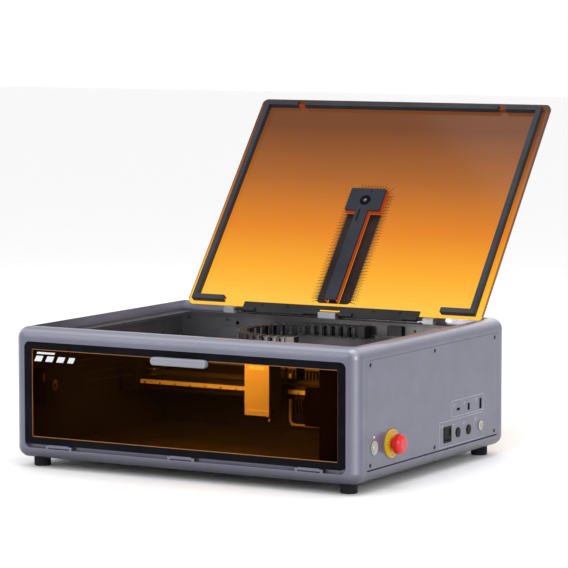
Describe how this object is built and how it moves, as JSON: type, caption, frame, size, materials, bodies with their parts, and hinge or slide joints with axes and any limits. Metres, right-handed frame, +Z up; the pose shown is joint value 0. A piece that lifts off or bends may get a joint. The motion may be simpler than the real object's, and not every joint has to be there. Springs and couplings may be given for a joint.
{
  "type": "laser cutter",
  "caption": "Enclosed desktop laser cutter with a tinted top lid, drop-down front window, moving laser head on a belt gantry, side controls and a rear exhaust.",
  "frame": {"origin": "on the table under the middle of the whole machine as it stands with its lid open", "axes": "+X to the machine's right, +Y towards its back, +Z up"},
  "size_m": [0.587, 0.6986, 0.5141],
  "materials": {
    "housing_metal": "satin metallic",
    "seat_black": "matt",
    "chamber_black": "satin",
    "plate_aluminium": "dark anodised",
    "rubber": "matt",
    "gasket_rubber": "matt",
    "screw_steel": "dark",
    "pin_steel": "bright",
    "stop_yellow": "gloss",
    "stop_red": "gloss",
    "control_chrome": "bright",
    "rocker_black": "gloss",
    "port_metal": "satin",
    "duct_black": "moulded",
    "lid_orange": "clear tinted",
    "hinge_grey": "satin",
    "strip_black": "satin",
    "lens_glass": "gloss",
    "door_black": "gloss",
    "door_amber": "clear tinted",
    "handle_grey": "satin",
    "rail_aluminium": "anodised",
    "pulley_aluminium": "machined",
    "motor_black": "satin",
    "belt_rubber": "ribbed",
    "chain_plastic": "moulded",
    "laser_black": "anodised",
    "nozzle_brass": "turned",
    "board_green": "solder mask"
  },
  "bodies": {
    "housing": {"front_frame": "housing_metal", "rear_frame": "housing_metal", "left_upper_rail": "housing_metal", "right_upper_rail": "housing_metal", "base_pan": "housing_metal", "left_side_panel": "housing_metal", "right_side_panel": "housing_metal", "rear_panel": "housing_metal", "lid_seat_ring": "seat_black", "chamber_left_wall": "chamber_black", "partition_wall": "chamber_black", "chamber_rear_wall": "chamber_black", "rear_wall_liner": "chamber_black", "work_plate": "plate_aluminium", "feet": "rubber", "panel_screws": "screw_steel", "hinge_pins": "pin_steel", "e_stop_base": "stop_yellow", "power_button_ring": "control_chrome", "key_switch_body": "control_chrome", "rocker_frame": "rocker_black", "port_sockets": "port_metal", "exhaust_collar": "duct_black", "exhaust_fan_frame": "duct_black", "lid_sensor": "duct_black", "chain_anchor": "duct_black", "lid_hinge_blocks": "hinge_grey", "y_rails": "rail_aluminium", "idler_brackets": "rail_aluminium", "y_motor": "motor_black", "y_belts": "belt_rubber", "cable_chain": "chain_plastic", "mainboard": "board_green"},
    "lid": {"lid_panel": "lid_orange", "lid_gasket": "gasket_rubber", "lid_hinge_strip": "strip_black", "camera_cover": "strip_black", "camera_lens": "lens_glass"},
    "door": {"door_frame": "door_black", "door_window": "door_amber", "door_handle": "handle_grey", "door_knuckles": "hinge_grey"},
    "gantry": {"gantry_end_blocks": "rail_aluminium", "gantry_beam": "rail_aluminium", "linear_rail": "pin_steel", "x_motor": "motor_black", "x_belt": "belt_rubber", "chain_bracket": "duct_black"},
    "head": {"carriage": "rail_aluminium", "laser_housing": "laser_black", "nozzle": "nozzle_brass"},
    "exhaust_rotor": {"exhaust_rotor": "duct_black"},
    "e_stop": {"e_stop_button": "stop_red"},
    "power_button": {"power_button_cap": "control_chrome"},
    "rocker": {"rocker_switch": "rocker_black"},
    "key": {"key_barrel": "control_chrome"},
    "x_drive": {"x_drive_pulley": "pulley_aluminium"},
    "x_idler": {"x_idler": "pulley_aluminium"},
    "y_drive": {"y_drive_shaft": "pin_steel"},
    "y_idlers": {"y_idlers": "pulley_aluminium"}
  },
  "joints": [
    {"name": "lid_hinge", "type": "hinge", "parent": "housing", "child": "lid", "pos_m": [-0.01, 0.09538, 0.198], "axis": [1, 0, 0], "range_deg": [0, 128]},
    {"name": "door_hinge", "type": "hinge", "parent": "housing", "child": "door", "pos_m": [-0.01, -0.33412, 0.032], "axis": [1, 0, 0], "range_deg": [0, 90]},
    {"name": "gantry_slide", "type": "slide", "parent": "housing", "child": "gantry", "axis": [0, 1, 0], "range_m": [-0.17, 0.08], "deforming": ["cable_chain"]},
    {"name": "head_slide", "type": "slide", "parent": "gantry", "child": "head", "axis": [1, 0, 0], "range_m": [-0.19, 0.13]},
    {"name": "rotor_spin", "type": "hinge", "parent": "housing", "child": "exhaust_rotor", "pos_m": [0.006, 0.11738, 0.092], "axis": [0, 1, 0], "continuous": true},
    {"name": "e_stop_press", "type": "slide", "parent": "housing", "child": "e_stop", "axis": [-1, 0, 0], "range_m": [0, 0.004], "stiffness_N_per_m": 1500, "springref_m": -0.002},
    {"name": "power_press", "type": "slide", "parent": "housing", "child": "power_button", "axis": [-1, 0, 0], "range_m": [0, 0.0012], "stiffness_N_per_m": 800, "springref_m": -0.001},
    {"name": "rocker_tilt", "type": "hinge", "parent": "housing", "child": "rocker", "pos_m": [0.2695, -0.06162, 0.0525], "axis": [0, 1, 0], "range_deg": [0, 14]},
    {"name": "key_turn", "type": "hinge", "parent": "housing", "child": "key", "pos_m": [0.264, 0.04588, 0.0528], "axis": [1, 0, 0], "range_deg": [0, 90]},
    {"name": "x_drive_spin", "type": "hinge", "parent": "gantry", "child": "x_drive", "pos_m": [0.1496, -0.08462, 0.1173], "axis": [0, 0, 1], "range_deg": [-1650, 1140]},
    {"name": "x_idler_spin", "type": "hinge", "parent": "gantry", "child": "x_idler", "pos_m": [-0.2116, -0.08462, 0.1173], "axis": [0, 0, 1], "range_deg": [-1650, 1140]},
    {"name": "y_drive_spin", "type": "hinge", "parent": "housing", "child": "y_drive", "pos_m": [-0.01, 0.02538, 0.12], "axis": [1, 0, 0], "range_deg": [-700, 1480]},
    {"name": "y_idler_spin", "type": "hinge", "parent": "housing", "child": "y_idlers", "pos_m": [-0.01, -0.31262, 0.12], "axis": [1, 0, 0], "range_deg": [-700, 1480]}
  ],
  "couplings": [
    {"joint": "x_drive_spin", "follows": "head_slide", "rad_per_m": 148.15},
    {"joint": "x_idler_spin", "follows": "head_slide", "rad_per_m": 148.15},
    {"joint": "y_drive_spin", "follows": "gantry_slide", "rad_per_m": -148.15},
    {"joint": "y_idler_spin", "follows": "gantry_slide", "rad_per_m": -148.15}
  ]
}
